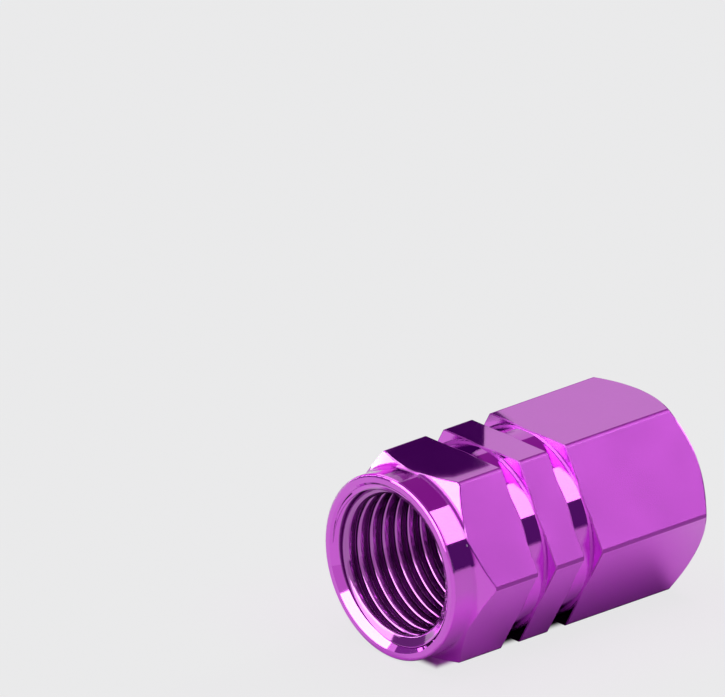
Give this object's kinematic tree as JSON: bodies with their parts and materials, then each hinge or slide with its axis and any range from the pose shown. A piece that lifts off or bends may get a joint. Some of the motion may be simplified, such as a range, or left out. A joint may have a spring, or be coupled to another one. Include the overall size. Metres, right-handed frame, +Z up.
{
  "type": "tyre valve cap",
  "caption": "Hexagonal metal dust cap for a tyre valve stem, with two turned grooves, a round collar at its open end and a sealing washer inside.",
  "frame": {"origin": "middle of the cap's footprint on the surface that it lies on, one flat of the hexagon down", "axes": "+X along the cap from its mouth to its closed end, +Z up, away from the flat that it lies on"},
  "size_m": [0.0162, 0.0106, 0.0093],
  "materials": {
    "anodised_aluminium": "bright purple anodised, mirror-like",
    "seal_rubber": "matt black rubber"
  },
  "bodies": {
    "root": {"cap_body": "anodised_aluminium", "sealing_washer": "seal_rubber"}
  },
  "joints": []
}
